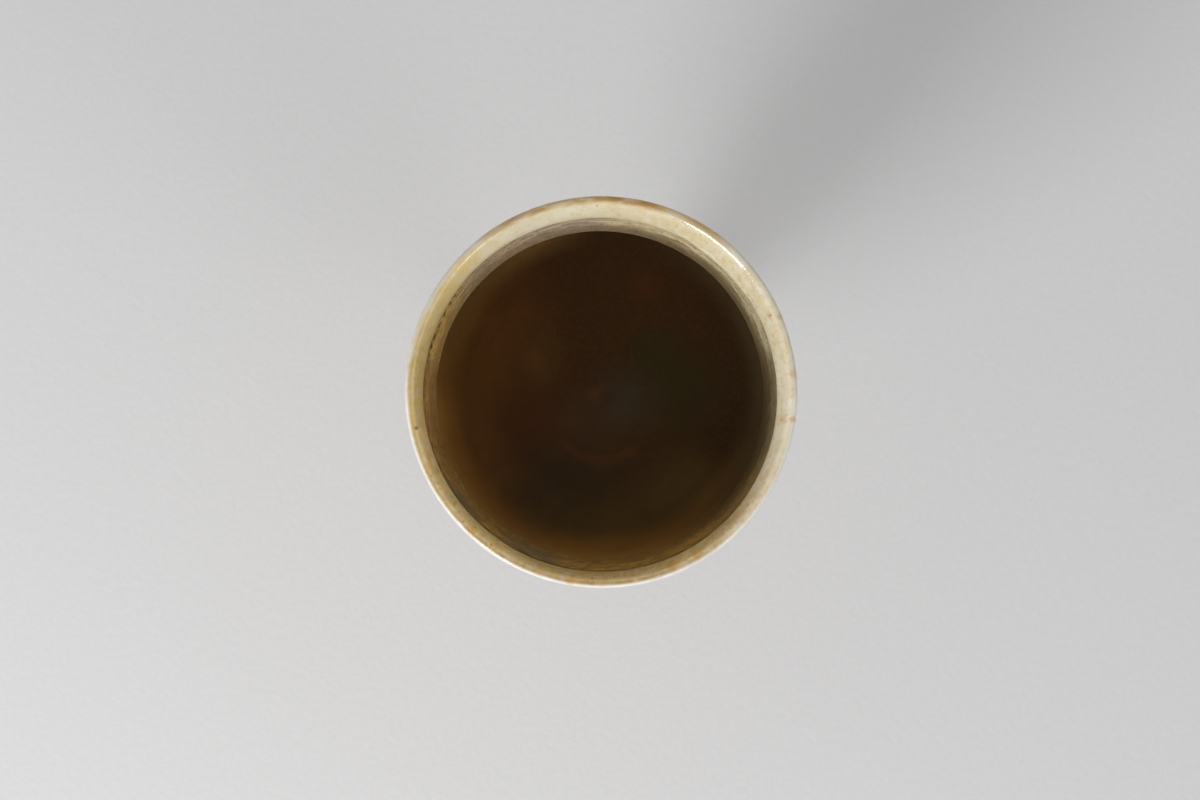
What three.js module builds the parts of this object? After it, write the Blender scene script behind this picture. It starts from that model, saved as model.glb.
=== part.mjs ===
// A wheel-thrown stoneware goblet with a drink in it. Millimetres, +Z up, origin on the table
// at the centre of the foot. The potter throws three sections, the bowl, the hollow stem and
// the foot, and lutes them end to end with slip. A turned tenon on the bowl and one on the foot
// stand in the stem's sockets and keep the sections in line.
import * as THREE from "three";

// How finely the round and curved surfaces are cut into flat facets.
const facetsRound = 60;
const curveSteps = 12;
const stemSteps = 20;
const roundSteps = 3;

// Clearances.
const tenonClearance = 0.3; // tenon to socket, all round and at its end
const drinkClearance = 0.3; // drink to the bowl's inside

// Slip: the layer between two sections, and the fillet that is wiped smooth round it.
const slipThickness = 0.8;
const slipFillet = 2.4;

// Foot: a flared disc, trimmed underneath to a flat ring, with a boss for the stem.
const footRadius = 37;
const footHeight = 16; // table to the joint face on the boss
const footRimHeight = 5.2; // table to where the foot's slope begins
const footRimRound = 1.9;
const footRingWidth = 7.5; // the flat ring that stands on the table
const footRingBevel = 1.3;
const footRecessDepth = 3.2;
const footSlopeReach = 17; // how far out the slope stays low; the longer, the flatter the foot
const footSlopeLift = 7.5; // how far down the boss stays upright
const footTenonRadius = 6.8;
const footTenonLength = 4.5;
const ventRadius = 3.2; // lets air out of the stem while it dries and fires

// Stem: thrown hollow, waisted, with one soft knop.
const stemFootRadius = 11.2; // where it stands on the foot
const stemBowlRadius = 9.6; // where it carries the bowl
const stemCollarSpare = 0.2; // how far each straight end runs on past its fillet
const stemFlareLength = 16.5; // lower straight end to the lower waist
const stemThroatLength = 6.2; // upper waist to the upper straight end
const stemLowerWaistRadius = 7.9;
const stemUpperWaistRadius = 7.3;
const stemBoreRadius = 3.6;
const knopRadius = 10;
const knopLength = 20.5; // waist to waist

// Bowl: a deep cup with a lip that slopes inwards.
const bowlHeight = 82; // joint face to the top of the lip
const bowlFloor = 6.4; // thickness of clay over the stem
const bowlTenonRadius = 5.9;
const bowlTenonLength = 4.5;
const lipRadius = 42; // the widest part of the goblet
const lipWidth = 3.8; // outer edge to inner edge
const lipNose = 1.1; // small round along the lip's outer edge
const lipSlope = 2.2; // fall of the lip from its crest to its inner edge
const lipUndercut = 0.3; // how far the lip stands out over the wall inside
const lipCrease = 1; // height of the crease below it
const lipShoulder = 3.4; // fall of the lip's outside, down to the wall
const wallThickness = 3.1; // just below the lip
const wallReach = 51; // how far down the wall stays upright
const wallLean = 3.6; // how far it leans in over that reach
const floorReach = 30; // how far out the floor stays low
const undersideRise = 4.5; // rise of the bowl's underside over that reach

// Drink.
const drinkBelowLip = 20;

// Places worked out from the sizes above, each from the lower end of its own section.
const footRingInner = footRadius - footRingBevel - footRingWidth;
const footRimFlat = footRimHeight - footRimRound;
const footSocketRadius = footTenonRadius + tenonClearance;
const footSocketDepth = footTenonLength - slipThickness + tenonClearance;
const footJointRadius = stemFootRadius + slipFillet;
const bowlSocketRadius = bowlTenonRadius + tenonClearance;
const bowlSocketDepth = bowlTenonLength - slipThickness + tenonClearance;
const bowlJointRadius = stemBowlRadius + slipFillet;
const stemCollar = slipFillet + stemCollarSpare;
const lowerWaistHeight = stemCollar + stemFlareLength;
const upperWaistHeight = lowerWaistHeight + knopLength;
const upperCollarHeight = upperWaistHeight + stemThroatLength;
const stemLength = upperCollarHeight + stemCollar;
const lipInnerRadius = lipRadius - lipWidth;
const lipCrestRadius = lipRadius - lipNose;
const wallInnerRadius = lipInnerRadius + lipUndercut;
const wallOuterRadius = wallInnerRadius + wallThickness;
const wallInnerTop = bowlHeight - lipSlope - lipCrease;
const wallOuterTop = bowlHeight - lipNose - lipShoulder;
const drinkLevel = bowlHeight - drinkBelowLip;

const at = (radius, height) => new THREE.Vector2(radius, height);

// The bowl's inside, from the middle of its floor up to the crease below the lip.
const insideOfBowl = new THREE.CubicBezierCurve(
  at(0, bowlFloor),
  at(floorReach, bowlFloor),
  at(wallInnerRadius - wallLean, wallInnerTop - wallReach),
  at(wallInnerRadius, wallInnerTop),
);

// Materials: glossy ash glaze, the browner glaze that gathers over a joint, and the drink.
const glaze = new THREE.MeshStandardMaterial({
  color: "#cfbe91",
  roughness: 0.15,
  metalness: 0,
});
const jointGlaze = new THREE.MeshStandardMaterial({
  color: "#a88a55",
  roughness: 0.15,
  metalness: 0,
});
const tea = new THREE.MeshStandardMaterial({
  color: "#2b1c0d",
  roughness: 0.04,
  metalness: 0,
});

// One piece turned about the Z axis from an outline of radius against height. The outline
// runs so that the clay is on its left. Points that fall on the one before are dropped.
function turned(name, outline, material) {
  const points = outline.filter(
    (point, i) => i === 0 || !point.equals(outline[i - 1]),
  );
  const geometry = new THREE.LatheGeometry(points, facetsRound);
  geometry.rotateX(Math.PI / 2);
  const mesh = new THREE.Mesh(geometry, material);
  mesh.name = name;
  return mesh;
}

// Points along a quarter of an ellipse, from one angle to another.
function quarter(centre, across, up, from, to) {
  const clockwise = to < from;
  const arc = new THREE.EllipseCurve(
    centre.x,
    centre.y,
    across,
    up,
    from,
    to,
    clockwise,
  );
  return arc.getPoints(roundSteps);
}

function foot() {
  const rim = quarter(
    at(footRadius - footRimRound, footRimFlat),
    footRimRound,
    footRimRound,
    0,
    Math.PI / 2,
  );
  const slope = new THREE.CubicBezierCurve(
    at(footRadius - footRimRound, footRimHeight),
    at(footJointRadius + footSlopeReach, footRimHeight),
    at(footJointRadius, footHeight - footSlopeLift),
    at(footJointRadius, footHeight),
  );
  return turned(
    "foot",
    [
      at(ventRadius, footRecessDepth),
      at(footRingInner, footRecessDepth),
      at(footRingInner, 0),
      at(footRadius - footRingBevel, 0),
      at(footRadius, footRingBevel),
      ...rim,
      ...slope.getPoints(curveSteps),
      at(footTenonRadius, footHeight),
      at(footTenonRadius, footHeight + footTenonLength),
      at(ventRadius, footHeight + footTenonLength),
      at(ventRadius, footRecessDepth),
    ],
    glaze,
  );
}

// A layer of slip with its fillet, as it lies between the stem and the bowl. The fillet runs
// from the stem's straight end out under the bowl. The foot's joint is the same, upside down.
function slipJoint(name, stemRadius, socketRadius) {
  const fillet = quarter(
    at(stemRadius + slipFillet, -slipFillet),
    slipFillet,
    slipFillet,
    Math.PI,
    Math.PI / 2,
  );
  return turned(
    name,
    [
      at(socketRadius, 0),
      at(stemRadius, 0),
      ...fillet,
      at(stemRadius + slipFillet, slipThickness),
      at(socketRadius, slipThickness),
      at(socketRadius, 0),
    ],
    jointGlaze,
  );
}

function stem() {
  const side = new THREE.SplineCurve([
    at(stemFootRadius, stemCollar),
    at(stemLowerWaistRadius, lowerWaistHeight),
    at(knopRadius, (lowerWaistHeight + upperWaistHeight) / 2),
    at(stemUpperWaistRadius, upperWaistHeight),
    at(stemBowlRadius, upperCollarHeight),
  ]);
  return turned(
    "stem",
    [
      at(footSocketRadius, 0),
      at(stemFootRadius, 0),
      ...side.getPoints(stemSteps),
      at(stemBowlRadius, stemLength),
      at(bowlSocketRadius, stemLength),
      at(bowlSocketRadius, stemLength - bowlSocketDepth),
      at(stemBoreRadius, stemLength - bowlSocketDepth),
      at(stemBoreRadius, footSocketDepth),
      at(footSocketRadius, footSocketDepth),
      at(footSocketRadius, 0),
    ],
    glaze,
  );
}

function bowl() {
  const outside = new THREE.CubicBezierCurve(
    at(bowlJointRadius, 0),
    at(floorReach, undersideRise),
    at(wallOuterRadius - wallLean, wallOuterTop - wallReach),
    at(wallOuterRadius, wallOuterTop),
  );
  const shoulder = new THREE.QuadraticBezierCurve(
    at(wallOuterRadius, wallOuterTop),
    at(lipRadius, wallOuterTop + lipNose),
    at(lipRadius, bowlHeight - lipNose),
  );
  const nose = quarter(
    at(lipCrestRadius, bowlHeight - lipNose),
    lipNose,
    lipNose,
    0,
    Math.PI / 2,
  );
  const slope = quarter(
    at(lipCrestRadius, bowlHeight - lipSlope),
    lipCrestRadius - lipInnerRadius,
    lipSlope,
    Math.PI / 2,
    Math.PI,
  );
  return turned(
    "bowl",
    [
      at(0, -bowlTenonLength),
      at(bowlTenonRadius, -bowlTenonLength),
      at(bowlTenonRadius, 0),
      ...outside.getPoints(curveSteps),
      ...shoulder.getPoints(roundSteps),
      ...nose,
      ...slope,
      ...insideOfBowl.getPoints(curveSteps).reverse(),
    ],
    glaze,
  );
}

// The drink fills the bowl to its level, a clearance inside the curve of the bowl.
function drink() {
  const outline = [at(0, bowlFloor + drinkClearance)];
  for (let i = 1; i <= curveSteps; i += 1) {
    const wall = insideOfBowl.getPoint(i / curveSteps);
    const along = insideOfBowl.getTangent(i / curveSteps);
    const inner = at(
      wall.x - along.y * drinkClearance,
      wall.y + along.x * drinkClearance,
    );
    if (inner.y >= drinkLevel) {
      const last = outline[outline.length - 1];
      const shareLeft = (drinkLevel - last.y) / (inner.y - last.y);
      outline.push(last.clone().lerp(inner, shareLeft));
      break;
    }
    outline.push(inner);
  }
  return turned("drink", [...outline, at(0, drinkLevel)], tea);
}

// The goblet stands on its foot: each group is set on top of what is below it.
const goblet = new THREE.Group();
goblet.add(foot());

const footJoint = slipJoint("foot_slip", stemFootRadius, footSocketRadius);
footJoint.rotation.x = Math.PI;
footJoint.position.z = footHeight + slipThickness;
goblet.add(footJoint);

const onFoot = new THREE.Group();
onFoot.position.z = footHeight + slipThickness;
onFoot.add(stem());
goblet.add(onFoot);

const bowlJoint = slipJoint("bowl_slip", stemBowlRadius, bowlSocketRadius);
bowlJoint.position.z = stemLength;
onFoot.add(bowlJoint);

const onStem = new THREE.Group();
onStem.position.z = stemLength + slipThickness;
onStem.add(bowl(), drink());
onFoot.add(onStem);

export default goblet;
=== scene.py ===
import math
from statistics import NormalDist

import bpy
from mathutils import Matrix, Vector
from mathutils.geometry import interpolate_bezier


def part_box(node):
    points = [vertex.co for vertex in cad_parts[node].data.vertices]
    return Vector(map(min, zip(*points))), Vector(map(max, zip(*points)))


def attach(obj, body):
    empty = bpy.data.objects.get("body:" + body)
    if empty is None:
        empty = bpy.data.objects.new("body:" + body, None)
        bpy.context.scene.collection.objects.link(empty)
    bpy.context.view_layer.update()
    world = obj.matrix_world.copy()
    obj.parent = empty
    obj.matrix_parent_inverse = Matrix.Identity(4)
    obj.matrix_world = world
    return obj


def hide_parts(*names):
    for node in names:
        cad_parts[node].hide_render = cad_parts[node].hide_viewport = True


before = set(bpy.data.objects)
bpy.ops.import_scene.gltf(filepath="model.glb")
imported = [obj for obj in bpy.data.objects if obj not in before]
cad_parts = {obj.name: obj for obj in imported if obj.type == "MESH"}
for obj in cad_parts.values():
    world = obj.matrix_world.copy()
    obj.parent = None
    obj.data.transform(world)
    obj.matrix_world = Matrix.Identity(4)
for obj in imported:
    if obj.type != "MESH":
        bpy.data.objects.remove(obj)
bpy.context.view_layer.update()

# The foot. A disc of stoneware thrown on its own and trimmed underneath when leather hard, to a
# flat ring round a shallow recess. A vent in its middle lets air out of the hollow stem.
# The glaze stops in a soft roll just above the table, and below it the clay is bare.
MM = 0.001
_, foot_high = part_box("foot")
joint_low, joint_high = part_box("foot_slip")
foot_radius = foot_high.x
foot_top = joint_low.z
boss_radius = joint_high.x
rim_height = 5.2 * MM
rim_round = 1.9 * MM
glaze_line = 2.3 * MM
glaze_roll = 0.35 * MM
ring_bevel = 1.1 * MM
ring_width = 6.6 * MM
ring_lean = 0.5 * MM
recess_depth = 3.2 * MM
recess_corner = 0.9 * MM
vent_radius = 3.2 * MM
slope_reach = 17 * MM
slope_lift = 7.5 * MM
turn_steps = 224
straight_up = 90
ring_edge_start = -80
corner_steps = 5
roll_steps = 4
rim_steps = 10
foot_slope_steps = 40
line_spacing = 4.6 * MM
line_drift = 23 * MM
line_drift_share = 0.3
line_swell = 31 * MM
line_swell_share = 0.4
line_depth = 0.1 * MM
smooth_under = math.radians(40)
weld_distance = 0.001 * MM


def sweep(start, leave, arrive, end, steps):
    """Points of a smooth stretch of an outline, from start towards leave, and by arrive to end."""
    return [tuple(point) for point in interpolate_bezier(start, leave, arrive, end, steps)]


def bend(centre, across, up, start, end, steps):
    """Points of an outline along a round or oval corner, between two angles in degrees."""
    points = []
    for step in range(steps + 1):
        angle = math.radians(start + (end - start) * step / steps)
        points.append((centre[0] + across * math.cos(angle), centre[1] + up * math.sin(angle)))
    return points


def throwing_line(place, sine):
    """The mark of the potter's fingers along a wall: -1 in a groove, 1 on a ridge."""
    drift = sine(place * (math.tau / line_drift)) * line_drift_share
    swell = sine(place * (math.tau / line_swell)) * line_swell_share + (1 - line_swell_share)
    return sine((place * (1 / line_spacing) + drift) * math.tau) * swell


def fingered(points, depth):
    """The same stretch of wall with throwing lines, which fade out at its ends."""
    marked = []
    for number, (radius, height) in enumerate(points):
        fade = math.sin(math.pi * number / (len(points) - 1))
        marked.append((radius + depth * fade * throwing_line(height, math.sin), height))
    return marked


def turn(name, outline):
    """Draws an outline of radius and height point by point and spins it about the Z axis."""
    bpy.ops.object.select_all(action="DESELECT")
    bpy.ops.mesh.primitive_plane_add(size=MM)
    piece = bpy.context.object
    piece.name = name
    bpy.ops.object.mode_set(mode="EDIT")
    bpy.ops.mesh.merge(type="CENTER")
    radius, height = outline[0]
    bpy.ops.transform.translate(value=(radius, 0, height))
    for next_radius, next_height in outline[1:]:
        step = (next_radius - radius, 0, next_height - height)
        bpy.ops.mesh.extrude_vertices_move(TRANSFORM_OT_translate={"value": step})
        radius, height = next_radius, next_height
    bpy.ops.mesh.select_all(action="SELECT")
    bpy.ops.mesh.spin(steps=turn_steps, angle=math.tau, center=(0, 0, 0), axis=(0, 0, 1))
    bpy.ops.mesh.select_all(action="SELECT")
    bpy.ops.mesh.remove_doubles(threshold=weld_distance)
    bpy.ops.mesh.normals_make_consistent(inside=False)
    bpy.ops.object.mode_set(mode="OBJECT")
    bpy.ops.object.shade_smooth_by_angle(angle=smooth_under)
    return piece


# The hand leaves nothing quite round. Slow sways move the walls, quick ones the glazed skin.
# They follow the place and not the piece, so that the pieces still meet at their joints.
sways = (
    ("slow", 38 * MM, 0.55 * MM),
    ("quick", 7 * MM, 0.09 * MM),
)


def hand_made(piece):
    """Moves the turned piece a little off the true circle, sideways only."""
    for name, length, reach in sways:
        for direction, basis in (("X", "BLENDER_ORIGINAL"), ("Y", "IMPROVED_PERLIN")):
            texture = bpy.data.textures.new(f"{name}_{direction}", "CLOUDS")
            texture.noise_scale = length
            texture.noise_depth = 1
            texture.noise_basis = basis
            sway = piece.modifiers.new(texture.name, "DISPLACE")
            sway.texture = texture
            sway.direction = direction
            sway.strength = reach
            bpy.ops.object.modifier_apply(modifier=sway.name)
    return piece


ring_outer = foot_radius - ring_bevel
ring_inner = ring_outer - ring_width
corner_middle = (ring_inner - recess_corner, recess_depth - recess_corner)
edge_middle = (ring_outer - ring_lean, ring_bevel)
roll_middle = (foot_radius - glaze_roll, glaze_line)
rim_middle = (foot_radius - rim_round, rim_height - rim_round)
foot_outline = [
    (vent_radius, foot_top),
    (vent_radius, recess_depth + recess_corner / 2),
    (vent_radius + recess_corner / 2, recess_depth),
    *bend(corner_middle, recess_corner, recess_corner, straight_up, 0, corner_steps),
    (ring_inner + ring_lean, ring_lean / 2),
    (ring_inner + ring_lean + ring_lean, 0),
    (ring_outer - ring_lean, 0),
    *bend(edge_middle, ring_bevel, ring_bevel, ring_edge_start, 0, corner_steps),
    (foot_radius - glaze_roll, glaze_line - glaze_roll),
    *bend(roll_middle, glaze_roll, glaze_roll, -straight_up, 0, roll_steps),
    *bend(rim_middle, rim_round, rim_round, 0, straight_up, rim_steps),
    *sweep(
        (foot_radius - rim_round, rim_height),
        (boss_radius + slope_reach, rim_height),
        (boss_radius, foot_top - slope_lift),
        (boss_radius, foot_top),
        foot_slope_steps,
    ),
    (vent_radius, foot_top),
]
foot = hand_made(turn("glazed_foot", foot_outline))


class Value:
    """A socket of a material's nodes, so that sums on a surface read as sums."""

    def __init__(self, finish, socket):
        self.finish = finish
        self.socket = socket

    def maths(self, operation, *others):
        sockets = dict(enumerate((self, *others)))
        return self.finish.add("Math", {"operation": operation}, sockets)

    def __add__(self, other):
        return self.maths("ADD", other)

    def __sub__(self, other):
        return self.maths("SUBTRACT", other)

    def __rsub__(self, other):
        return (self * -1).maths("ADD", other)

    def __mul__(self, other):
        return self.maths("MULTIPLY", other)

    def __truediv__(self, other):
        return self.maths("DIVIDE", other)

    def __rtruediv__(self, other):
        return self.finish.add("Math", {"operation": "DIVIDE"}, {0: other, 1: self})

    def rise(self, low, high):
        """0 below low, 1 above high, and a smooth step between them; falls if low is higher."""
        sockets = {"Value": self, "From Min": low, "From Max": high}
        return self.finish.add("MapRange", {"interpolation_type": "SMOOTHSTEP"}, sockets)

    def near(self, middle, width):
        """1 at middle, falling smoothly to 0 at width away from it."""
        return (self - middle).maths("ABSOLUTE").rise(width, 0)


def sine_of(value):
    return value.maths("SINE")


screen_white = 255
screen_dark = 0.04045
screen_slope = 12.92
screen_lift = 0.055
screen_power = 2.4


def paint(red, green, blue):
    """A colour written as it looks on a screen, 0 to 255, as the shader wants it."""
    linear = []
    for part in (red, green, blue):
        part /= screen_white
        if part <= screen_dark:
            linear.append(part / screen_slope)
        else:
            linear.append(((part + screen_lift) / (1 + screen_lift)) ** screen_power)
    return (*linear, 1)


class Finish:
    """A material and its nodes. add() puts a node in and gives back one of its sockets."""

    noise_middle = 0.5
    noise_spread = 0.11
    patch_edge = 0.07
    torn = (0.2, 0.8)
    tiny = 0.01 * MM
    girth = 38 * MM

    def __init__(self, name):
        self.material = bpy.data.materials.new(name)
        self.material.use_nodes = True
        self.nodes = self.material.node_tree.nodes
        self.links = self.material.node_tree.links
        self.nodes.clear()
        self.place = self.add("TexCoord", {}, {}, output="Object")
        self.x, self.y, self.z = (
            self.add("SeparateXYZ", {}, {"Vector": self.place}, output=axis) for axis in "XYZ"
        )
        self.radius = self.distance(0, 0)

    def add(self, kind, settings, sockets, output=0):
        node = self.nodes.new("ShaderNode" + kind)
        for name, setting in settings.items():
            setattr(node, name, setting)
        for name, value in sockets.items():
            if isinstance(value, Value):
                self.links.new(value.socket, node.inputs[name])
            else:
                node.inputs[name].default_value = value
        return Value(self, node.outputs[output])

    def mix(self, share, first, second):
        """The first colour where share is 0, the second where it is 1."""
        return self.add("Mix", {"data_type": "RGBA"}, {0: share, 6: first, 7: second}, output=2)

    def distance(self, x, y):
        """The level distance from an upright line at x and y."""
        across = self.x - x
        along = self.y - y
        return (across * across + along * along).maths("SQRT")

    def side(self, degrees, reach):
        """1 on this side of the axis, counted from +X to +Y, and 0 from reach degrees away."""
        angle = math.radians(degrees)
        facing = (self.x * math.cos(angle) + self.y * math.sin(angle)) / (self.radius + self.tiny)
        return facing.rise(math.cos(math.radians(reach)), 1)

    def noise(self, size, stretch=(1, 1, 1), detail=4):
        """Cloudy values about 0.5, with features of this size, longer along each stretched axis."""
        scale = tuple(1 / (size * part) for part in stretch)
        place = self.add("Mapping", {"vector_type": "POINT"}, {"Vector": self.place, "Scale": scale})
        return self.add("TexNoise", {}, {"Vector": place, "Scale": 1, "Detail": detail})

    def ringed(self, size, length, detail=4):
        """Cloudy values drawn out along the turning: this size across it, this length along it."""
        turned_by = self.girth / length / (self.radius + self.tiny)
        ring = {"X": self.x * turned_by, "Y": self.y * turned_by, "Z": (self.radius + self.z) / size}
        place = self.add("CombineXYZ", {}, ring)
        return self.add("TexNoise", {}, {"Vector": place, "Scale": 1, "Detail": detail})

    def patches(self, size, cover, stretch=(1, 1, 1), detail=4):
        """Irregular patches of this size, which take up about this share of the surface."""
        middle = NormalDist(self.noise_middle, self.noise_spread).inv_cdf(1 - cover)
        noise = self.noise(size, stretch, detail)
        return noise.rise(middle - self.patch_edge, middle + self.patch_edge)

    def ragged(self, mask, noise, amount=1.2):
        """The mask with its edge broken up by a noise."""
        return (mask + (noise - self.noise_middle) * amount).rise(*self.torn)

    def wander(self, size, reach):
        """A length that wanders from place to place, with a swing of about this reach."""
        return (self.noise(size) - self.noise_middle) * reach

    def shine(self, colour, roughness, relief, depth, ior):
        """Ends the material as one skin with a fine relief of this depth."""
        normal = self.add("Bump", {}, {"Height": relief, "Distance": depth})
        sockets = {"Base Color": colour, "Roughness": roughness, "IOR": ior, "Normal": normal}
        skin = self.add("BsdfPrincipled", {}, sockets)
        end = self.nodes.new("ShaderNodeOutputMaterial")
        self.links.new(skin.socket, end.inputs["Surface"])
        return self.material


# The glaze. Wood-ash glaze over stoneware: cream with a milky haze on one side, straw yellow
# and tan on the other, thin and brown over ridges, finely cracked, with iron specks.
glaze_ior = 1.6
cream = paint(214, 202, 166)
haze = paint(206, 201, 186)
straw = paint(188, 162, 96)
tan = paint(160, 130, 78)
honey = paint(194, 160, 96)
rust = paint(152, 94, 40)
olive = paint(126, 116, 70)
crack_brown = paint(124, 98, 60)
cloud_size = 24 * MM
glaze_sides = (
    (straw, 238, 155, 1),
    (tan, 268, 70, 0.6),
    (honey, 322, 40, 0.35),
    (haze, 12, 75, 0.35),
)
glaze_patches = (
    (haze, 7 * MM, 0.3, (1, 1, 1.6), 0.22),
    (straw, 5 * MM, 0.3, (1, 1, 4), 0.2),
    (honey, 2.2 * MM, 0.3, (1, 1, 1), 0.22),
    (haze, 1.3 * MM, 0.3, (1, 1, 1), 0.12),
    (tan, 0.8 * MM, 0.16, (1, 1, 1), 0.2),
    (rust, 14 * MM, 0.06, (1, 1, 1), 0.2),
)
ridge_rise = 0.5
ridge_size = 20 * MM
ridge_stretch = (1, 1, 0.5)
ridge_torn = 1.5
ridge_tint = 0.3
crack_cell = 1.5 * MM
crack_share = 0.05
crack_area = (12 * MM, 0.5)
crack_tint = 0.22
crack_sink = 0.1
speck_cell = 6 * MM
speck_share = 0.05
speck_choice = 0.6
speck_tint = 0.85
speck_sink = 0.3
gloss = 0.06
dull_area = (3 * MM, 0.4)
dull_more = 0.04
skin_size = 3 * MM
skin_detail = 2
skin_rise = 1.5


def ash_glaze(finish):
    """The glaze's colour, roughness and relief at every place on the goblet."""
    cloud = finish.noise(cloud_size)
    colour = cream
    for tint, degrees, reach, strength in glaze_sides:
        share = finish.ragged(finish.side(degrees, reach), cloud) * strength
        colour = finish.mix(share, colour, tint)
    for tint, size, cover, stretch, strength in glaze_patches:
        share = finish.patches(size, cover, stretch) * strength
        colour = finish.mix(share, colour, tint)
    ridge_noise = finish.noise(ridge_size, ridge_stretch)
    ridge = finish.ragged(throwing_line(finish.z, sine_of) * ridge_rise, ridge_noise, ridge_torn)
    colour = finish.mix(ridge * ridge_tint, colour, honey)
    net = {"feature": "DISTANCE_TO_EDGE"}
    crack = finish.add("TexVoronoi", net, {"Vector": finish.place, "Scale": 1 / crack_cell})
    crack = crack.rise(crack_share, 0) * finish.patches(*crack_area)
    colour = finish.mix(crack * crack_tint, colour, crack_brown)
    cells = {"Vector": finish.place, "Scale": 1 / speck_cell}
    chosen = finish.add("TexVoronoi", {}, cells, output="Color").maths("GREATER_THAN", speck_choice)
    speck = finish.add("TexVoronoi", {}, cells).rise(speck_share, speck_share / 2) * chosen
    colour = finish.mix(speck * speck_tint, colour, rust)
    rough = finish.patches(*dull_area) * dull_more + gloss
    skin = finish.noise(skin_size, detail=skin_detail) * skin_rise
    relief = skin - crack * crack_sink - speck * speck_sink
    return colour, rough, relief


relief_depth = 0.06 * MM
foot_wander = (5 * MM, 0.6 * MM)
rim_reach = 1.8 * MM
rim_cloud = 6 * MM
rim_tint = 0.7
boss_pool_out = 1 * MM
boss_pool_reach = 6 * MM
pool_cloud = 4 * MM
pool_tint = 0.7
grit_size = 0.7 * MM
grit_rise = 2.5
clay_area = (0.8 * MM, 0.4)
clay_rough = 0.8
toast_reach = 1.6 * MM
toast_tint = 0.8
glaze_edge = 0.15 * MM
trim_spacing = 1.7 * MM
trim_rise = 0.5
clay = paint(158, 118, 86)
dark_clay = paint(136, 98, 70)
toasted = paint(150, 88, 46)


def footed_glaze():
    """The glaze on the foot, with the bare clay of the ring and the recess below it."""
    finish = Finish("foot_glaze")
    colour, rough, relief = ash_glaze(finish)
    height = finish.z + finish.wander(*foot_wander)
    rim = finish.radius.near(foot_radius, rim_reach) * height.rise(glaze_line, rim_height)
    colour = finish.mix(finish.ragged(rim, finish.noise(rim_cloud)) * rim_tint, colour, rust)
    pool = finish.radius.near(boss_radius + boss_pool_out, boss_pool_reach)
    pool = pool * height.rise(rim_height, foot_top)
    colour = finish.mix(finish.ragged(pool, finish.noise(pool_cloud)) * pool_tint, colour, olive)
    grit = finish.noise(grit_size)
    bare = finish.mix(finish.patches(*clay_area), clay, dark_clay)
    bare = finish.mix(height.rise(glaze_line - toast_reach, glaze_line) * toast_tint, bare, toasted)
    under = finish.radius.rise(ring_inner + ring_lean, ring_inner) * finish.z.rise(rim_height, recess_depth)
    glazed = height.rise(glaze_line - glaze_edge, glaze_line) * (1 - under)
    trimmed = sine_of(finish.radius * (math.tau / trim_spacing))
    colour = finish.mix(glazed, bare, colour)
    rough = glazed * rough + (1 - glazed) * clay_rough
    relief = glazed * relief + (1 - glazed) * (grit * grit_rise + trimmed * trim_rise)
    return finish.shine(colour, rough, relief, relief_depth, glaze_ior)


foot.data.materials.append(footed_glaze())
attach(foot, "root")
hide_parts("foot")

# The slip joint on the foot. Wet clay that lutes the stem on, wiped to a soft shoulder with a
# finger. The glaze gathers in it, glassy and olive brown.
stem_low, stem_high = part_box("stem")
stem_foot_radius = stem_high.x
fillet_spill = 0.6 * MM
fillet_foot_grip = 1.5 * MM
fillet_stem_grip = (0.1 * MM, 1.2 * MM)
fillet_steps = 20
lower_fillet_top = joint_high.z + fillet_spill
lower_joint_outline = [
    (vent_radius, foot_top),
    *sweep(
        (boss_radius, foot_top),
        (boss_radius, foot_top + fillet_foot_grip),
        (stem_foot_radius + fillet_stem_grip[0], foot_top + fillet_stem_grip[1]),
        (stem_foot_radius, lower_fillet_top),
        fillet_steps,
    ),
    (vent_radius, lower_fillet_top),
    (vent_radius, foot_top),
]
lower_joint = hand_made(turn("glazed_foot_joint", lower_joint_outline))
joint_pool_reach = 4.5 * MM
pool_over_joint = 1 * MM


def pooled_glaze(name, middle):
    """The glaze where it gathers over a joint at this height."""
    finish = Finish(name)
    colour, rough, relief = ash_glaze(finish)
    pool = finish.ragged(finish.z.near(middle, joint_pool_reach), finish.noise(pool_cloud))
    colour = finish.mix(pool * pool_tint, colour, olive)
    return finish.shine(colour, rough, relief, relief_depth, glaze_ior)


lower_joint.data.materials.append(pooled_glaze("foot_joint_glaze", foot_top + pool_over_joint))
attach(lower_joint, "root")
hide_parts("foot_slip")

# The stem. Thrown hollow off the hump, necked in twice so that a soft knop stands between the
# two waists, and cut level at both ends.
_, bowl_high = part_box("bowl")
_, upper_joint_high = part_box("bowl_slip")
bowl_base = upper_joint_high.z
bore_radius = 3.6 * MM
stem_bowl_radius = 9.6 * MM
stem_collar = 2.6 * MM
flare_length = 16.5 * MM
knop_length = 20.5 * MM
lower_waist_radius = 7.9 * MM
upper_waist_radius = 7.3 * MM
knop_radius = 10.1 * MM
stem_line_depth = 0.09 * MM
flare_share = 0.45
grip_share = 0.2
flare_draw = 0.6 * MM
throat_draw = 0.4 * MM
flare_steps = 24
knop_steps = 18
throat_steps = 12
lower_waist = stem_low.z + stem_collar + flare_length
upper_waist = lower_waist + knop_length
knop_middle = (lower_waist + upper_waist) / 2
upper_fillet_bottom = stem_high.z - stem_collar
flare = flare_length * flare_share
knop_grip = knop_length * grip_share
throat = (upper_fillet_bottom - upper_waist) * flare_share
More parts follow.
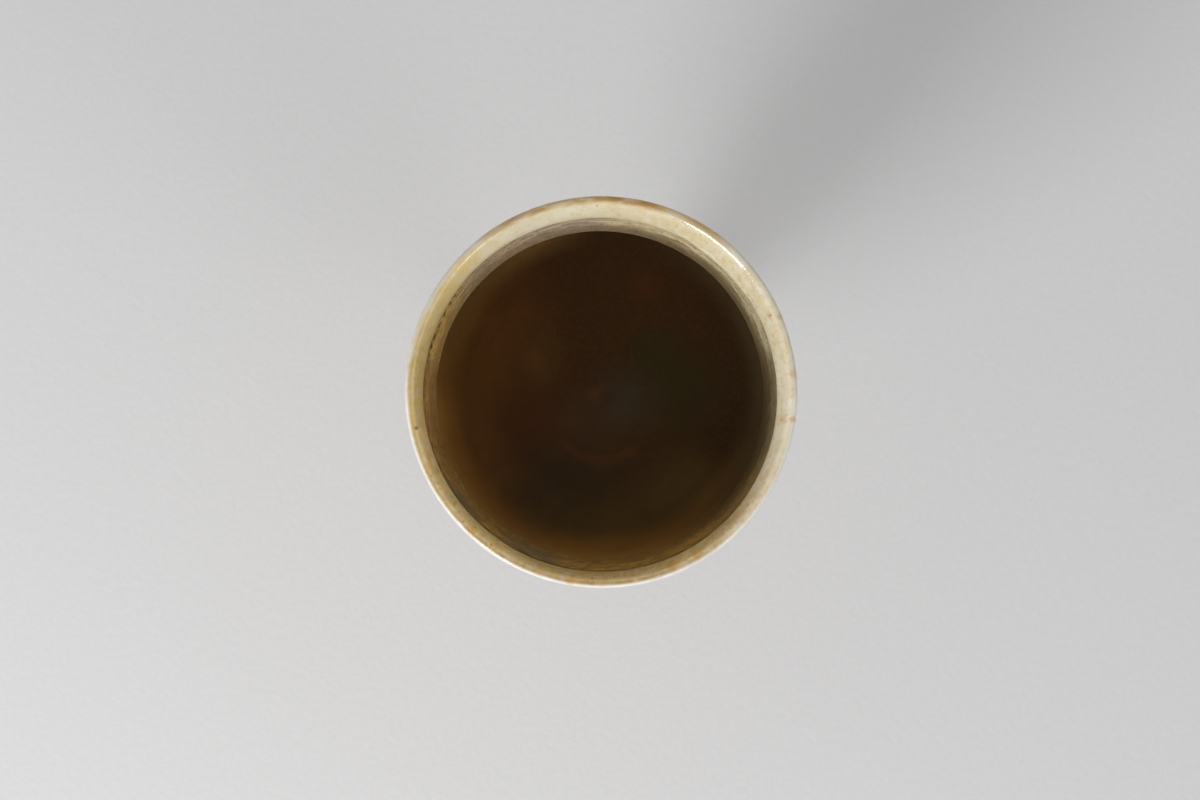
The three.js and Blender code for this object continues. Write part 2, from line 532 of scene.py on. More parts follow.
stem_side = [
    *sweep(
        (stem_foot_radius, lower_fillet_top),
        (stem_foot_radius - flare_draw, lower_fillet_top + flare),
        (lower_waist_radius, lower_waist - flare),
        (lower_waist_radius, lower_waist),
        flare_steps,
    ),
    *sweep(
        (lower_waist_radius, lower_waist),
        (lower_waist_radius, lower_waist + knop_grip),
        (knop_radius, knop_middle - knop_grip),
        (knop_radius, knop_middle),
        knop_steps,
    )[1:],
    *sweep(
        (knop_radius, knop_middle),
        (knop_radius, knop_middle + knop_grip),
        (upper_waist_radius, upper_waist - knop_grip),
        (upper_waist_radius, upper_waist),
        knop_steps,
    )[1:],
    *sweep(
        (upper_waist_radius, upper_waist),
        (upper_waist_radius, upper_waist + throat),
        (stem_bowl_radius - throat_draw, upper_fillet_bottom - throat),
        (stem_bowl_radius, upper_fillet_bottom),
        throat_steps,
    )[1:],
]
stem_outline = [
    (bore_radius, lower_fillet_top),
    *fingered(stem_side, stem_line_depth),
    (bore_radius, upper_fillet_bottom),
    (bore_radius, lower_fillet_top),
]
stem = hand_made(turn("glazed_stem", stem_outline))
stem_torn = 2
knop_tint = 0.6
waist_tint = 0.35
knop_reach, knop_cloud = 5 * MM, 5 * MM
waist_reach, waist_cloud = 6 * MM, 7 * MM
end_reach, end_cloud = 3.5 * MM, 4 * MM


def stem_glaze():
    """The glaze on the stem, thin on the knop and thick in the waists."""
    finish = Finish("stem_glaze")
    colour, rough, relief = ash_glaze(finish)
    knop = finish.ragged(finish.z.near(knop_middle, knop_reach), finish.noise(knop_cloud), stem_torn)
    colour = finish.mix(knop * knop_tint, colour, honey)
    for waist in (lower_waist, upper_waist):
        pool = finish.ragged(finish.z.near(waist, waist_reach), finish.noise(waist_cloud), stem_torn)
        colour = finish.mix(pool * waist_tint, colour, olive)
    for end in (lower_fillet_top, upper_fillet_bottom):
        pool = finish.ragged(finish.z.near(end, end_reach), finish.noise(end_cloud))
        colour = finish.mix(pool * pool_tint, colour, olive)
    return finish.shine(colour, rough, relief, relief_depth, glaze_ior)


stem.data.materials.append(stem_glaze())
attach(stem, "root")
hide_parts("stem")

# The slip joint under the bowl, wiped into a smooth flare that carries the bowl's underside.
upper_joint_reach = 12.6 * MM
upper_joint_lap = 0.15 * MM
upper_stem_grip = (0.35 * MM, 1.9 * MM)
upper_bowl_grip = (1.6 * MM, 0.4 * MM)
upper_fillet_steps = 16
upper_joint_top = bowl_base + upper_joint_lap
upper_joint_outline = [
    (bore_radius, upper_fillet_bottom),
    *sweep(
        (stem_bowl_radius, upper_fillet_bottom),
        (stem_bowl_radius + upper_stem_grip[0], upper_fillet_bottom + upper_stem_grip[1]),
        (upper_joint_reach - upper_bowl_grip[0], upper_joint_top - upper_bowl_grip[1]),
        (upper_joint_reach, upper_joint_top),
        upper_fillet_steps,
    ),
    (bore_radius, upper_joint_top),
    (bore_radius, upper_fillet_bottom),
]
upper_joint = hand_made(turn("glazed_bowl_joint", upper_joint_outline))
upper_joint.data.materials.append(pooled_glaze("bowl_joint_glaze", bowl_base - pool_over_joint))
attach(upper_joint, "root")
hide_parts("bowl_slip")

# The bowl. Thrown thin, with the lip left as a thick bead that slopes inwards and a tool's
# crease below it. The glaze breaks to rust in places along the lip's top edge, and below the
# crease drink and wear have stained the wall in fine streaks. Light and shade are painted on
# the bead and wall too: a painted reflection and paler slopes on the bead, lit and shaded tones
# of the wall, and painted shade in the crease, under the bead and by the drink.
_, drink_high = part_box("drink")
level = drink_high.z
lip_radius = bowl_high.x
lip_top = bowl_high.z
lip_crest_in = 0.85 * MM
lip_ridge_in = 1.07 * MM
lip_ridge_round = 1.4 * MM
lip_ridge_turn = 52
lip_width = 3.9 * MM
lip_fall = 4.4 * MM
lip_leave = (0.83 * MM, 1.06 * MM)
lip_arrive = (0.16 * MM, 1.11 * MM)
lip_shoulder = 2.6 * MM
lip_tuck = 1.9 * MM
crease_depth = 0.45 * MM
crease_height = 0.9 * MM
wall_thickness = 3.1 * MM
wall_undercut = 0.3 * MM
wall_reach = 51 * MM
wall_lean = 3.6 * MM
inside_lean = 5.4 * MM
floor_reach = 30 * MM
floor_thickness = 6.4 * MM
underside_rise = 4.5 * MM
inside_line_depth = 0.07 * MM
tuck_out = 0.08 * MM
tuck_grip = 0.5
crease_end = -60
outside_steps = 90
inside_steps = 70
tuck_steps = 10
nose_steps = 16
ridge_steps = 12
lip_slope_steps = 20
crease_steps = 7
crest = lip_radius - lip_crest_in
lip_inner = lip_radius - lip_width
crease_top = lip_top - lip_fall
wall_inner = lip_inner + wall_undercut
wall_outer = wall_inner + wall_thickness
wall_inner_top = crease_top - crease_height
wall_outer_top = lip_top - lip_shoulder - lip_tuck
outside = sweep(
    (upper_joint_reach, upper_joint_top),
    (floor_reach, bowl_base + underside_rise),
    (wall_outer - wall_lean, wall_outer_top - wall_reach),
    (wall_outer, wall_outer_top),
    outside_steps,
)
inside = sweep(
    (wall_inner, wall_inner_top),
    (wall_inner - inside_lean, wall_inner_top - wall_reach),
    (floor_reach, bowl_base + floor_thickness),
    (0, bowl_base + floor_thickness),
    inside_steps,
)
inside = fingered(inside, inside_line_depth)
lip_outside = sweep(
    (wall_outer, wall_outer_top),
    (wall_outer + tuck_out, wall_outer_top + lip_tuck * tuck_grip),
    (lip_radius, lip_top - lip_shoulder - lip_tuck * tuck_grip),
    (lip_radius, lip_top - lip_shoulder),
    tuck_steps,
)
ridge = (lip_radius - lip_ridge_in, lip_top - lip_ridge_round)
ridge_end = straight_up + lip_ridge_turn
lip_ridge = bend(ridge, lip_ridge_round, lip_ridge_round, straight_up, ridge_end, ridge_steps)
slope_start, slope_height = lip_ridge[-1]
lip_slope = sweep(
    (slope_start, slope_height),
    (slope_start - lip_leave[0], slope_height - lip_leave[1]),
    (lip_inner + lip_arrive[0], crease_top + lip_arrive[1]),
    (lip_inner, crease_top),
    lip_slope_steps,
)
nose_middle = (crest, lip_top - lip_shoulder)
crease_middle = (lip_inner, crease_top - crease_height / 2)
bowl_outline = [
    (0, upper_joint_top),
    *fingered(outside, line_depth),
    *lip_outside[1:],
    *bend(nose_middle, lip_crest_in, lip_shoulder, 0, straight_up, nose_steps)[1:],
    *lip_ridge,
    *lip_slope[1:],
    *bend(crease_middle, crease_depth, crease_height / 2, straight_up, crease_end, crease_steps),
    *inside,
]
bowl = turn("glazed_bowl", bowl_outline)

# The bead is thicker on one side, so its inner edge is pushed over, and it sags in one place.
bead_soft = 4.6 * MM
bead_pushes = (
    (70, 180, 0.56 * MM),
    (46, 9, 0.3 * MM),
)
for degrees, reach, push in bead_pushes:
    middle = Vector((math.cos(math.radians(degrees)), math.sin(math.radians(degrees)), 0))
    bpy.ops.object.mode_set(mode="EDIT")
    bpy.ops.mesh.select_all(action="DESELECT")
    bpy.ops.object.mode_set(mode="OBJECT")
    for vertex in bowl.data.vertices:
        in_crease = wall_inner_top - weld_distance < vertex.co.z < crease_top + weld_distance
        inside_edge = vertex.co.xy.length < lip_inner + crease_depth + weld_distance
        if in_crease and inside_edge:
            turned_by = math.degrees(Vector((vertex.co.x, vertex.co.y, 0)).angle(middle))
            vertex.select = turned_by < reach
    bpy.ops.object.mode_set(mode="EDIT")
    bpy.ops.transform.translate(
        value=-middle * push,
        use_proportional_edit=True,
        use_proportional_connected=True,
        proportional_edit_falloff="SMOOTH",
        proportional_size=bead_soft,
    )
    bpy.ops.object.mode_set(mode="OBJECT")
hand_made(bowl)

lip_cream = paint(202, 190, 156)
lip_reflected_white = paint(232, 229, 222)
lip_straw_brightened = paint(232, 202, 134)
lip_blush = paint(202, 162, 104)
lip_brown = paint(168, 130, 62)
lip_sand_brightened = paint(230, 208, 154)
lip_milk = paint(222, 215, 192)
lip_orange = paint(196, 144, 48)
lip_turn = crest - 0.8 * MM
lip_bands = (
    # The two haze rows are partly the glaze's milky haze and partly a painted reflection of the bright room
    # on the bead's outer part, which also whitens the highlight at the upper left.
    (haze, lip_turn - 0.4 * MM, crest + 0.1 * MM, 55, 150, 0.7),
    (haze, lip_turn - 0.3 * MM, crest + 0.1 * MM, 140, 48, 0.85),
    (lip_cream, lip_turn, lip_inner + 0.4 * MM, 40, 125, 0.85),
    # Painted light: a paler straw on the inner slope at the front left, which faces away from the window,
    # to offset its shade.
    (lip_straw_brightened, crest - 0.1 * MM, crest - 1.1 * MM, 235, 112, 0.85),
    (straw, crest, lip_inner + 0.6 * MM, 160, 45, 0.3),
    # Painted light: a paler sand on the inner slope at the upper left, to offset its shade.
    (lip_sand_brightened, crest - 0.4 * MM, crest - 1.3 * MM, 144, 32, 0.6),
    (lip_milk, crest - 0.7 * MM, crest - 1.4 * MM, 352, 30, 0.4),
    (lip_milk, crest - 2.1 * MM, crest - 1 * MM, 334, 36, 0.6),
    (lip_milk, crest - 0.7 * MM, crest - 1.4 * MM, 113, 28, 0.5),
    (tan, crest + 0.3 * MM, crest - 0.5 * MM, 269, 34, 0.45),
)
lip_patches = (
    (paint(200, 170, 104), 3.4 * MM, 0.35, 60, 140, 0.25),
    (paint(220, 216, 206), 2.6 * MM, 0.3, 50, 130, 0.25),
    (lip_blush, 2.6 * MM, 0.4, 250, 110, 0.45),
    (paint(214, 186, 100), 3.2 * MM, 0.35, 190, 80, 0.35),
    (haze, 1.8 * MM, 0.3, 250, 110, 0.3),
)
# A painted reflection: a white band along the bead's outer edge in front, where the glaze mirrors the lit
# floor. Its drawn-out noise lets it fade downwards like milky glaze.
lip_reflection_edge = (crest - 0.4 * MM, crest + 0.55 * MM, 266, 118)
lip_stains = (
    (lip_brown, 98, 44, 0.95, 1.7 * MM),
    (lip_brown, 57, 10, 0.8, 1.6 * MM),
    (rust, 80, 11, 0.55, 1.3 * MM),
    (rust, 113, 11, 0.3, 1.1 * MM),
)
lip_specks = (
    (rust, 191.3, 40.2 * MM, 0.6 * MM, 0.8),
    (rust, 351.1, 38.8 * MM, 0.5 * MM, 0.8),
    (lip_orange, 351, 38.9 * MM, 1.5 * MM, 0.3),
    (lip_orange, 351.6, 41.1 * MM, 1 * MM, 0.6),
    (rust, 24.3, 39.5 * MM, 0.5 * MM, 0.6),
    (rust, 91.5, 39.7 * MM, 0.3 * MM, 0.6),
    (rust, 267, 39.8 * MM, 0.4 * MM, 0.6),
    (rust, 234.2, 40.2 * MM, 0.4 * MM, 0.7),
    (rust, 223.3, 40.4 * MM, 0.4 * MM, 0.5),
    (rust, 206.5, 40.4 * MM, 0.4 * MM, 0.5),
    (lip_orange, 226.9, 40.6 * MM, 1.3 * MM, 0.5),
    (lip_orange, 260.5, 40.8 * MM, 1.5 * MM, 0.4),
    (lip_orange, 291.8, 39.8 * MM, 1.8 * MM, 0.6),
    (lip_orange, 299.8, 40.2 * MM, 1.1 * MM, 0.5),
    (lip_orange, 5.2, 41.3 * MM, 1.6 * MM, 0.4),
    (lip_brown, 22.7, 41.3 * MM, 1.1 * MM, 0.4),
)
lip_fade = (lip_top - 6 * MM, lip_top - 3 * MM)
lip_cloud = 2.5 * MM
band_torn = 0.8
lip_grain = 1.1 * MM
slope_side = (30, 120)
pale_grain, pale_grain_tint = (0.52, 0.66), 0.4
dark_grain, dark_grain_tint = (0.46, 0.36), 0.25
near_side = (250, 110)
near_grain, near_grain_tint = (0.46, 0.34), 0.4
patch_full = 0.5
outline_full = 0.4
outline_fade = (lip_top - 7.5 * MM, lip_top - 1 * MM)
outline_runs = (2.2 * MM, (1, 1, 4))
outline_least, outline_swing = 0.45, 0.9
reflection_edge_tint = 0.9
stain_streaks = (2 * MM, 6 * MM)
stain_rise = (0.36, 0.56)
stain_least, stain_swing = 0.4, 0.6
speck_core = 0.25
speck_least = 0.5
speck_fade = (lip_top - 3 * MM, lip_top - 1 * MM)


def lip_glaze(finish, colour):
    """The bead's colours: cream inside and rusty in places along its top edge, with painted light: a white
    reflection along its outer edge in front, haze that is partly painted reflection, and paler inner slopes
    where they face away from the window.
    """
    top = finish.z.rise(*lip_fade)
    soft = finish.noise(lip_cloud)
    for tint, start, full, degrees, reach, strength in lip_bands:
        band = finish.radius.rise(start, full) * finish.side(degrees, reach)
        colour = finish.mix(finish.ragged(band, soft, band_torn) * top * strength, colour, tint)
    grain = finish.noise(lip_grain)
    slope = finish.radius.rise(crest, lip_turn) * finish.side(*slope_side) * top
    colour = finish.mix(grain.rise(*pale_grain) * slope * pale_grain_tint, colour, haze)
    colour = finish.mix(grain.rise(*dark_grain) * slope * dark_grain_tint, colour, tan)
    for tint, size, cover, degrees, reach, strength in lip_patches:
        share = finish.patches(size, cover) * finish.side(degrees, reach).rise(0, patch_full) * top
        colour = finish.mix(share * strength, colour, tint)
    nearer = finish.side(*near_side) * top
    colour = finish.mix(grain.rise(*near_grain) * nearer * near_grain_tint, colour, lip_brown)
    # The painted white reflection along the outer edge in front, broken into runs as it fades down.
    start, full, degrees, reach = lip_reflection_edge
    outline = finish.radius.rise(start, full) * finish.side(degrees, reach).rise(0, outline_full)
    runs = finish.noise(*outline_runs) * outline_swing + outline_least
    outline = outline * finish.z.rise(*outline_fade) * runs
    colour = finish.mix(outline * reflection_edge_tint, colour, lip_reflected_white)
    run = finish.ringed(*stain_streaks).rise(*stain_rise) * stain_swing + stain_least
    for tint, degrees, reach, strength, width in lip_stains:
        edge = finish.radius.near(crest, width) * finish.side(degrees, reach)
        colour = finish.mix(edge * run * top * strength, colour, tint)
    for tint, degrees, radius, size, strength in lip_specks:
        angle = math.radians(degrees)
        spot = finish.distance(radius * math.cos(angle), radius * math.sin(angle))
        spot = spot.rise(size, size * speck_core) * (grain + speck_least)
        spot = spot * finish.z.rise(*speck_fade)
        colour = finish.mix(spot * strength, colour, tint)
    return colour


wall_shade = paint(180, 136, 62)
# The wall's base, wall_shade, is its tone in shade. The rows at 65 and 82 paint it paler where the window
# lights it, and those at 146 and 168 lift it where it lies in shade on the left, standing in for light. The
# row at 342 is painted shade on the right by the drink, and the rows at 114 and 190 are stains.
wall_stains_and_light = (
    (paint(200, 188, 150), 65, 150, 1),
    (paint(224, 204, 164), 82, 45, 0.75),
    (paint(240, 206, 142), 146, 42, 0.95),
    (paint(250, 202, 116), 168, 26, 0.85),
    (paint(198, 178, 160), 114, 38, 0.65),
    (paint(172, 124, 72), 190, 30, 0.6),
    (paint(124, 106, 72), 342, 45, 0.6),
)
wall_smudges = (
    (paint(110, 102, 78), 246, 14, 0.75, level + 1 * MM),
    (paint(112, 102, 78), 219, 12, 0.85, level + 5.5 * MM),
)
wall_olive = paint(104, 94, 56)
wall_pale = paint(226, 190, 124)
wall_film = paint(92, 68, 32)
wall_dark_streaks_and_shade = paint(60, 46, 24)
crease_shade_dark = paint(58, 48, 32)
overhang_shade_black = paint(34, 28, 20)
wall_middle = 38.4 * MM
wall_edge = 0.5 * MM
wall_slant_share = 0.1
wall_end = (level - 9 * MM, level - 6 * MM)
wall_torn = 0.5
olive_rise, olive_tint = (0.5, 0.62), 0.3
hair_streaks, hair_width, hair_tint = (2.4 * MM, 6 * MM), 0.02, 0.4
fine_streaks, fine_rise, fine_tint = (1.4 * MM, 0.9 * MM), (0.5, 0.64), 0.35
near_lines, near_line_width, near_line_tint = (1.3 * MM, 4 * MM), 0.04, 0.65
near_line_side = (235, 130)
pale_streaks, pale_rise, pale_tint = (1.1 * MM, 2 * MM), (0.54, 0.64), 0.5
pale_side = (225, 130)
film_rise, film_torn = (level + 13 * MM, level + 1 * MM), 0.9
film_side, film_swing, film_least = (20, 140), 0.45, 0.3
smudge_height = 5 * MM
smudge_least = 0.4
# Painted shade on the wall: darker on the right towards the drink, and a darker band just above the drink
# all round.
shade_rise, shade_swing, shade_least = (level + 19 * MM, level + 5 * MM), 0.8, 0.6
shade_side, shade_tint = (352, 30), 0.65
drink_shade_rise = (level + 5 * MM, level + 1.5 * MM)
drink_shade_side, drink_shade_swing, drink_shade_least = (15, 110), 0.4, 0.1


def wall_inside(finish):
    """1 on the inside of the bowl's wall, from the lip to just under the drink."""
    slanted = finish.radius - finish.z * wall_slant_share
    middle = wall_middle - level * wall_slant_share
    return slanted.rise(middle + wall_edge, middle) * finish.z.rise(*wall_end)


def stained_and_shaded_wall(finish, streaks):
    """The colour of the wall between the crease and the drink: lit and shaded tones painted by side, fine
    drawn-out stain streaks, a tea film, and painted shade toward the drink.
    """
    wall_colour = wall_shade
    for tint, degrees, reach, strength in wall_stains_and_light:
        share = finish.ragged(finish.side(degrees, reach), streaks, wall_torn) * strength
        wall_colour = finish.mix(share, wall_colour, tint)
    wall_colour = finish.mix(streaks.rise(*olive_rise) * olive_tint, wall_colour, wall_olive)
    hairs = finish.ringed(*hair_streaks)
    wall_colour = finish.mix(hairs.near(finish.noise_middle, hair_width) * hair_tint, wall_colour, wall_olive)
    fine = finish.ringed(*fine_streaks)
    wall_colour = finish.mix(fine.rise(*fine_rise) * fine_tint, wall_colour, wall_film)
    lines = finish.ringed(*near_lines).near(finish.noise_middle, near_line_width)
    wall_colour = finish.mix(lines * finish.side(*near_line_side) * near_line_tint, wall_colour, wall_dark_streaks_and_shade)
    pale = finish.ringed(*pale_streaks).rise(*pale_rise) * finish.side(*pale_side)
    wall_colour = finish.mix(pale * pale_tint, wall_colour, wall_pale)
    # A tea film above the drink, partly a real stain and partly painted light and shade: it is laid on more
    # strongly on the lit right side than in shade.
    film = finish.ragged(finish.z.rise(*film_rise), streaks, film_torn)
    wall_colour = finish.mix(film * (finish.side(*film_side) * film_swing + film_least), wall_colour, wall_film)
    for tint, degrees, reach, strength, low in wall_smudges:
        smudge = finish.side(degrees, reach) * finish.z.rise(low, low + smudge_height)
        wall_colour = finish.mix(smudge * (streaks + smudge_least) * strength, wall_colour, tint)
    # Painted shade: the wall on the right darkens towards the drink from 19 mm above it, and a band in the
    # last 5 mm above the drink darkens all round, most on the right.
    shade = finish.z.rise(*shade_rise) * (streaks * shade_swing + shade_least)
    wall_colour = finish.mix(shade * finish.side(*shade_side) * shade_tint, wall_colour, wall_dark_streaks_and_shade)
    drink_shade = finish.z.rise(*drink_shade_rise)
    return finish.mix(drink_shade * (finish.side(*drink_shade_side) * drink_shade_swing + drink_shade_least), wall_colour, wall_dark_streaks_and_shade)


base_pool, base_pool_tint = 8 * MM, 0.65
blotch_size = 4 * MM
wall_wander = (3 * MM, 0.7 * MM)
stain_start = (crease_top - 0.1 * MM, crease_top - 1.2 * MM)
wall_streaks = (1.9 * MM, 5 * MM)
crease_line = (crease_top - 1.7 * MM, 1.9 * MM)
crease_side, crease_streaks, crease_torn = (232, 125), (3 * MM, 4 * MM), 2
crease_tint = 0.35
crease_rise, crease_streak_tint = (0.4, 0.6), 0.4
# Painted shade under the bead's overhang on the left.
overhang_shade_line, overhang_shade_side = (crease_top - 3.5 * MM, 2 * MM), (157, 19)
shade_break_streaks, shade_break_rise = (2 * MM, 1.4 * MM), (0.5, 0.55)
stain_rough = 0.25
stain_relief = 1.5


def bowl_glaze():
    """The glaze on the bowl: outside, lip, crease and the stained wall inside, with painted shade in the
    crease and under the bead's overhang.
    """
    finish = Finish("bowl_glaze")
    colour, rough, relief = ash_glaze(finish)
    blotch = finish.noise(blotch_size)
    pool = finish.ragged(finish.z.near(bowl_base, base_pool), blotch)
    colour = finish.mix(pool * base_pool_tint, colour, olive)
    colour = lip_glaze(finish, colour)
    height = finish.z + finish.wander(*wall_wander)
    inner = wall_inside(finish)
    stained = inner * height.rise(*stain_start)
    streaks = finish.ringed(*wall_streaks)
    colour = finish.mix(stained, colour, stained_and_shaded_wall(finish, streaks))
    # Painted shade in the crease under the bead, deepest at the front left where the bead shades the wall,
    # and broken by streaks.
    crease = inner * height.near(*crease_line)
    crease_shade = finish.ragged(finish.side(*crease_side), finish.ringed(*crease_streaks), crease_torn)
    crease_shade = crease_shade * crease_tint + streaks.rise(*crease_rise) * crease_streak_tint
    colour = finish.mix(crease * crease_shade, colour, crease_shade_dark)
    # Painted shade: a broken dark line under the bead's overhang on the left.
    overhang_shade = inner * height.near(*overhang_shade_line) * finish.side(*overhang_shade_side)
    shade_breaks = finish.ringed(*shade_break_streaks).rise(*shade_break_rise)
    colour = finish.mix(overhang_shade * shade_breaks, colour, overhang_shade_black)
    rough = rough + stained * stain_rough
    relief = relief + stained * streaks * stain_relief
    return finish.shine(colour, rough, relief, relief_depth, glaze_ior)


bowl.data.materials.append(bowl_glaze())
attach(bowl, "root")
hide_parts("bowl")

# The drink. Dark clear tea, which climbs the glazed wall all round in a thin curved edge.
# Near the wall it is shallow enough for the glaze to glow amber through it. Its paint also holds light:
# brighter in front where the lip's shadow falls, amber and olive reflections of the lit wall at its edge,
# and painted reflections of the room in patches.
climb = 0.25 * MM
climb_length = 1.6 * MM
film_gap = 0.02 * MM
surface_steps = 40
surface_crowding = 1.6
under_drink = []
for radius, height in reversed(inside):
    if height >= level + climb:
        break
    under_drink.append((radius + film_gap if radius > weld_distance else 0, height - film_gap))
last_radius, last_height = under_drink[-1]
last_share = (level + climb - last_height) / (height - last_height)
drink_radius = last_radius + (radius + film_gap - last_radius) * last_share
under_drink.append((drink_radius, level + climb))
surface = []
for step in range(1, surface_steps):
    share = (step / surface_steps) ** surface_crowding
    distance = drink_radius * share
    surface.append((drink_radius - distance, level + climb * math.exp(-distance / climb_length)))
drink_outline = [*under_drink, *surface, (0, level)]
drink = hand_made(turn("tea", drink_outline))

tea_ior = 1.33
tea_roughness = 0.03
tea_middle = paint(43, 26, 9)
# Painted light and reflection by side: brighter tea at the front and left where the lip's shadow falls,
# amber and olive edges where the meniscus mirrors the lit wall, and a grey-brown edge on the right. The
# amber edge is partly the glaze seen through shallow tea.
tea_side_light = (
    (paint(98, 70, 30), 232, 105, 0.5, 0.85, 1),
    (paint(92, 52, 16), 176, 75, 0.2, 0.8, 0.4),
    (paint(86, 64, 28), 280, 60, 0.45, 0.8, 0.6),
    (paint(134, 92, 38), 234, 125, 0.82, 0.97, 1),
    (paint(148, 110, 52), 230, 140, 0.94, 1, 0.7),
    (paint(60, 48, 28), 5, 75, 0.86, 1, 0.9),
    (paint(92, 66, 32), 140, 50, 0.86, 1, 0.9),
)
# Painted reflections: faint patches of the room and camera mirrored on the drink's surface.
tea_reflections = (
    (paint(37, 32, 12), (18 * MM, 0.5 * MM), 18 * MM, 0.6),
    (paint(34, 30, 9), (12.5 * MM, 8.5 * MM), 11 * MM, 0.6),
    (paint(46, 38, 28), (5.8 * MM, -1.8 * MM), 12 * MM, 0.7),
    (paint(50, 36, 22), (-4.5 * MM, -6 * MM), 10 * MM, 0.7),
    (paint(66, 44, 14), (-13.8 * MM, 7.7 * MM), 9 * MM, 0.6),
    (paint(60, 32, 16), (-17.6 * MM, -11 * MM), 26 * MM, 0.55),
    (paint(46, 37, 22), (-9 * MM, -22 * MM), 18 * MM, 0.7),
    (paint(54, 38, 18), (8 * MM, -20 * MM), 22 * MM, 0.6),
    (paint(76, 48, 14), (-29 * MM, 3.8 * MM), 11 * MM, 0.5),
    (paint(56, 29, 12), (10.3 * MM, 25 * MM), 6 * MM, 0.6),
    (paint(66, 40, 14), (-1.2 * MM, 0), 3 * MM, 0.5),
)
ring_place = (0.4 * MM, -4.4 * MM)
ring_radius = 10.4 * MM
ring_soft = 2 * MM
ring_arc = (ring_place[1] - 4 * MM, ring_place[1] - 9 * MM)
ring_torn, ring_tint = 0.6, 0.42
ring_brown = paint(66, 38, 16)
tea_dust = paint(56, 36, 14)
tea_cloud = 5 * MM
tea_streaks = (1.6 * MM, 10 * MM)
dust_size, dust_rise, dust_tint = 0.9 * MM, (0.4, 0.7), 0.35
side_swing = 0.8
tea_reflection_swing = 2


def tea():
    """Tea, near black in the middle and amber toward the wall, with painted light by side where the lip's
    shadow falls, and painted reflections on its surface.
    """
    finish = Finish("tea")
    out = finish.radius / drink_radius
    cloud = finish.noise(tea_cloud)
    streaks = finish.ringed(*tea_streaks)
    dust = finish.noise(dust_size)
    colour = finish.mix(dust.rise(*dust_rise) * dust_tint, tea_middle, tea_dust)
    for tint, degrees, reach, start, full, strength in tea_side_light:
        share = finish.side(degrees, reach) * out.rise(start, full)
        share = share + (streaks + cloud - 1) * share * side_swing
        colour = finish.mix(share * strength, colour, tint)
    for tint, (x, y), size, strength in tea_reflections:
        share = finish.distance(x, y).rise(size, 0) * (cloud * tea_reflection_swing)
        colour = finish.mix(share * strength, colour, tint)
    ring = finish.distance(*ring_place).near(ring_radius, ring_soft)
    ring = ring * finish.y.rise(*ring_arc)
    colour = finish.mix(finish.ragged(ring, cloud, ring_torn) * ring_tint, colour, ring_brown)
    return finish.shine(colour, tea_roughness, cloud, 0, tea_ior)


drink.data.materials.append(tea())
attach(drink, "root")
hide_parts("drink")

# The floor, a plain pale sheet that runs out of sight.
floor_size = 12
fibre_size = 2 * MM
fibre_depth = 0.1 * MM
floor_dark = paint(205, 205, 205)
floor_pale = paint(211, 210, 211)
floor_rough = 0.9
floor_ior = 1.45
bpy.ops.object.select_all(action="DESELECT")
bpy.ops.mesh.primitive_plane_add(size=floor_size)
floor = bpy.context.object
floor.name = "floor"
floor_finish = Finish("floor")
fibre = floor_finish.noise(fibre_size)
floor_tone = floor_finish.mix(fibre, floor_dark, floor_pale)
floor.data.materials.append(
    floor_finish.shine(floor_tone, floor_rough, fibre, fibre_depth, floor_ior)
)

# The light. A tall soft one at the front on the left, a small one at the front on the right,
# and a room that is pale all round and dark overhead.
light_distance = 1.15
lights = (
    ("window", 231, 36, 20, 26, 1.22),
    ("far_window", 314, 40, 15, 10, 0.17),
)
for name, direction, elevation, width, height, table_light in lights:
    turned, raised = math.radians(direction), math.radians(elevation)
    towards = Vector((
        math.cos(turned) * math.cos(raised),
        math.sin(turned) * math.cos(raised),
        math.sin(raised),
    ))
    bpy.ops.object.light_add(type="AREA")
    light = bpy.context.object
    light.name = name
    light.data.shape = "RECTANGLE"
    light.data.size = 2 * light_distance * math.tan(math.radians(width / 2))
    light.data.size_y = 2 * light_distance * math.tan(math.radians(height / 2))
    light.data.energy = table_light * math.pi * light_distance ** 2 / math.sin(raised)
    light.location = towards * light_distance
    light.rotation_euler = towards.to_track_quat("Z", "Y").to_euler()

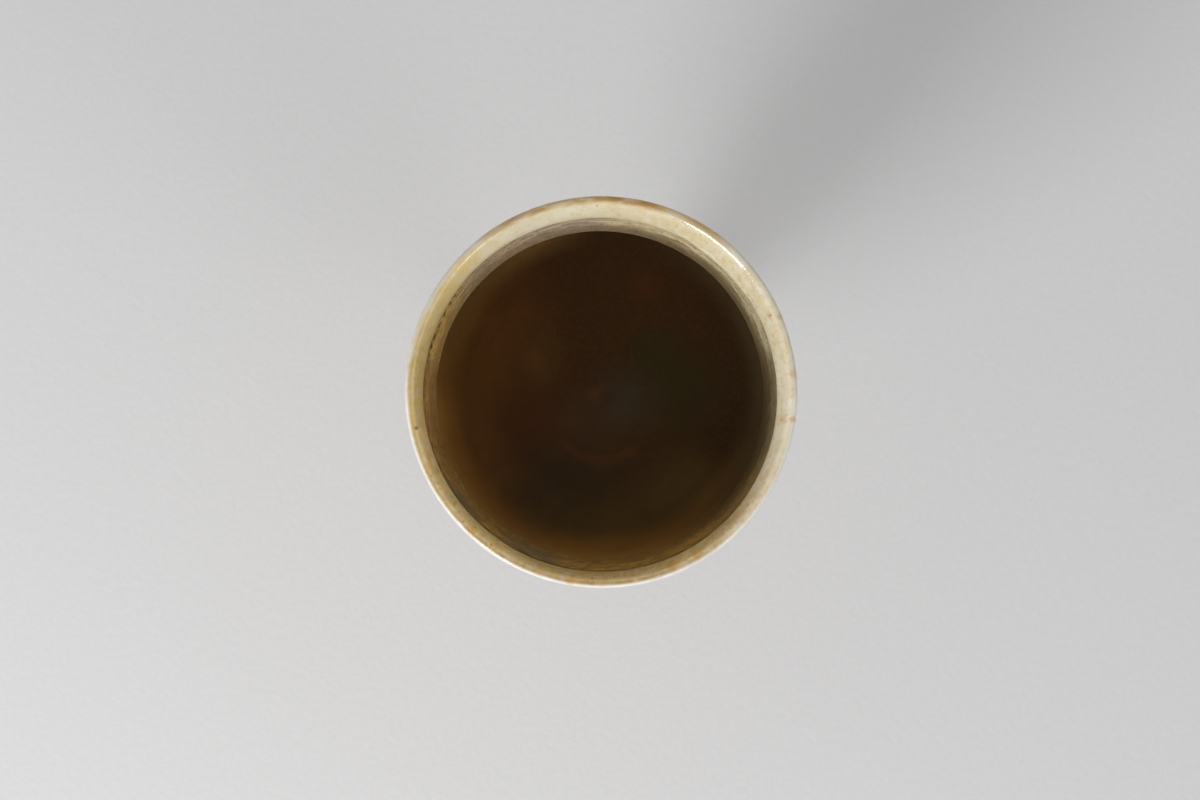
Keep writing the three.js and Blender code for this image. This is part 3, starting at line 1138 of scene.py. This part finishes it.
room_light = 0.7
overhead_light = 0.09
overhead_edge = (0.8, 0.97)
room = bpy.data.worlds.new("room")
room.use_nodes = True
bpy.context.scene.world = room
nodes, links = room.node_tree.nodes, room.node_tree.links
nodes.clear()
view = nodes.new("ShaderNodeTexCoord")
parts = nodes.new("ShaderNodeSeparateXYZ")
links.new(view.outputs["Generated"], parts.inputs[0])
overhead = nodes.new("ShaderNodeMapRange")
overhead.interpolation_type = "SMOOTHSTEP"
links.new(parts.outputs["Z"], overhead.inputs["Value"])
overhead.inputs["From Min"].default_value = overhead_edge[0]
overhead.inputs["From Max"].default_value = overhead_edge[1]
overhead.inputs["To Min"].default_value = room_light
overhead.inputs["To Max"].default_value = overhead_light
lit = nodes.new("ShaderNodeBackground")
lit.inputs["Color"].default_value = (1, 1, 1, 1)
links.new(overhead.outputs[0], lit.inputs["Strength"])
shown = nodes.new("ShaderNodeOutputWorld")
links.new(lit.outputs[0], shown.inputs["Surface"])

# The camera, held over the goblet and tipped a little, as the photograph was taken. The place
# straight below it lies down and to the left of the goblet's middle in the picture.
picture_width, picture_height = 1200, 800
lens, sensor = 50, 36
rim_px = 196.3
rim_middle_px = (601.8, 391.5)
below_camera_px = (566, 459)
focal_px = lens / sensor * picture_width
rim_distance = focal_px * lip_radius / rim_px
px_size = lip_radius / rim_px
camera_place = Vector((
    (below_camera_px[0] - rim_middle_px[0]) * px_size,
    (rim_middle_px[1] - below_camera_px[1]) * px_size,
    lip_top - lip_shoulder + rim_distance,
))
look = Vector((
    (picture_width / 2 - below_camera_px[0]) / focal_px,
    (below_camera_px[1] - picture_height / 2) / focal_px,
    -1,
)).normalized()
across = Vector((0, 1, 0)).cross(-look).normalized()
up = (-look).cross(across)
bpy.ops.object.camera_add()
camera = bpy.context.object
camera.data.lens = lens
camera.data.sensor_width = sensor
camera.matrix_world = Matrix.Translation(camera_place) @ Matrix((across, up, -look)).transposed().to_4x4()
bpy.context.scene.camera = camera
bpy.context.scene.view_settings.view_transform = "Standard"
